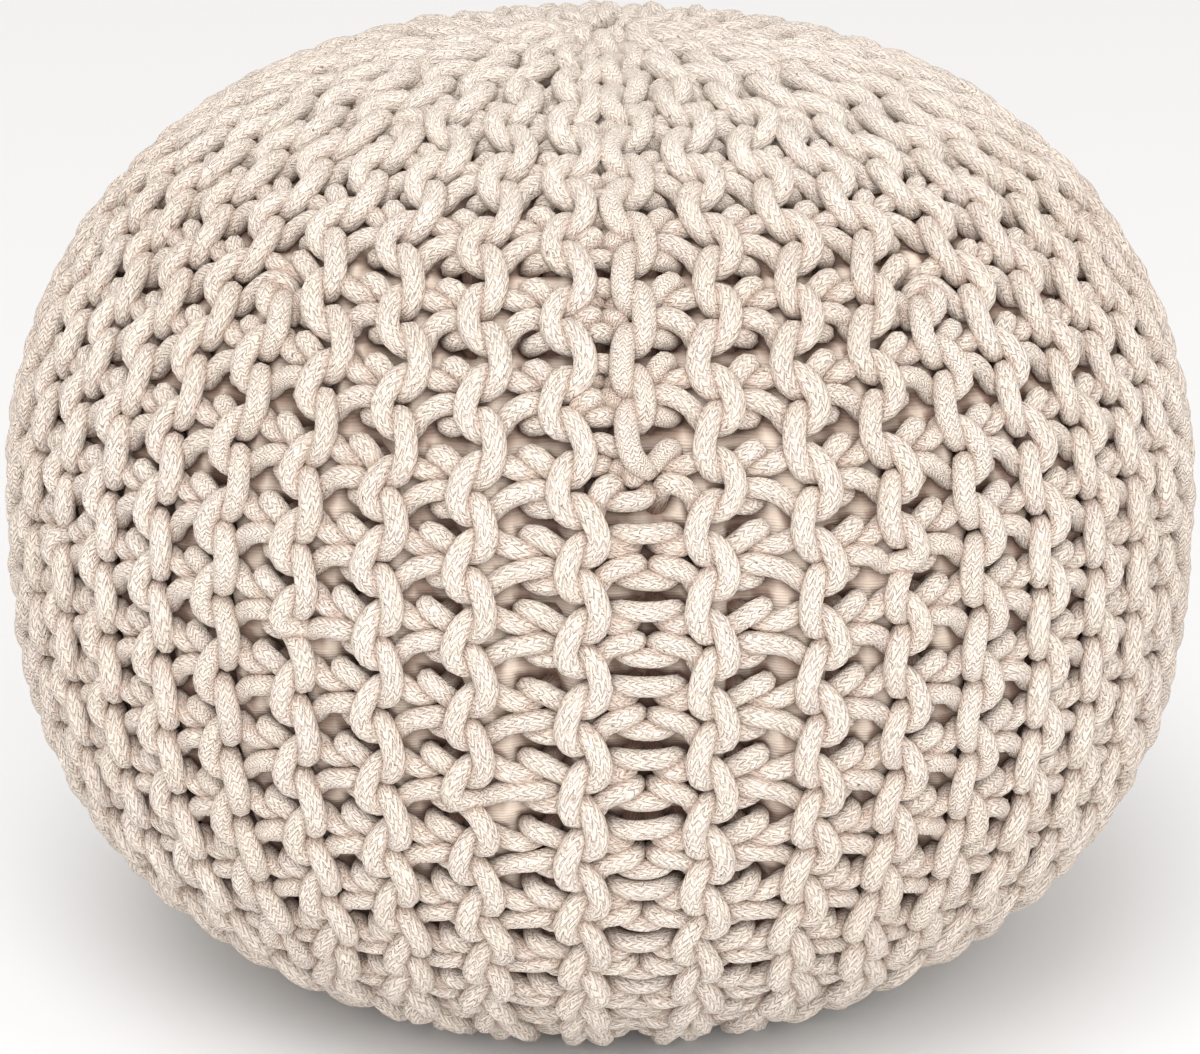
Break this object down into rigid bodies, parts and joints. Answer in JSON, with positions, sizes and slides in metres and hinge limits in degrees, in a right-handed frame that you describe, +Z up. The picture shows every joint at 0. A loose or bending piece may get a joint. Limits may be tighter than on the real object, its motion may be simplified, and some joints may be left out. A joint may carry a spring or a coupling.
{
  "type": "knitted floor pouf",
  "caption": "Round floor pouf with a thick cotton cord cover, hand knitted in upright ridges and drawn together at top and underside, over a filled cloth bag; it sits flat on the floor.",
  "frame": {"origin": "middle of the flat underside, on the floor", "axes": "+Z up; -Y towards the viewer of the picture, where the cover's seam is; +X to that viewer's right"},
  "size_m": [0.4994, 0.4997, 0.403],
  "materials": {
    "cotton_cord": "matt braided cotton cord, warm ecru, knitted in thick ridges",
    "bag_cloth": "plain woven cotton, warm cream, matt"
  },
  "bodies": {
    "root": {"knit_cover": "cotton_cord", "filled_bag": "bag_cloth"}
  },
  "joints": []
}
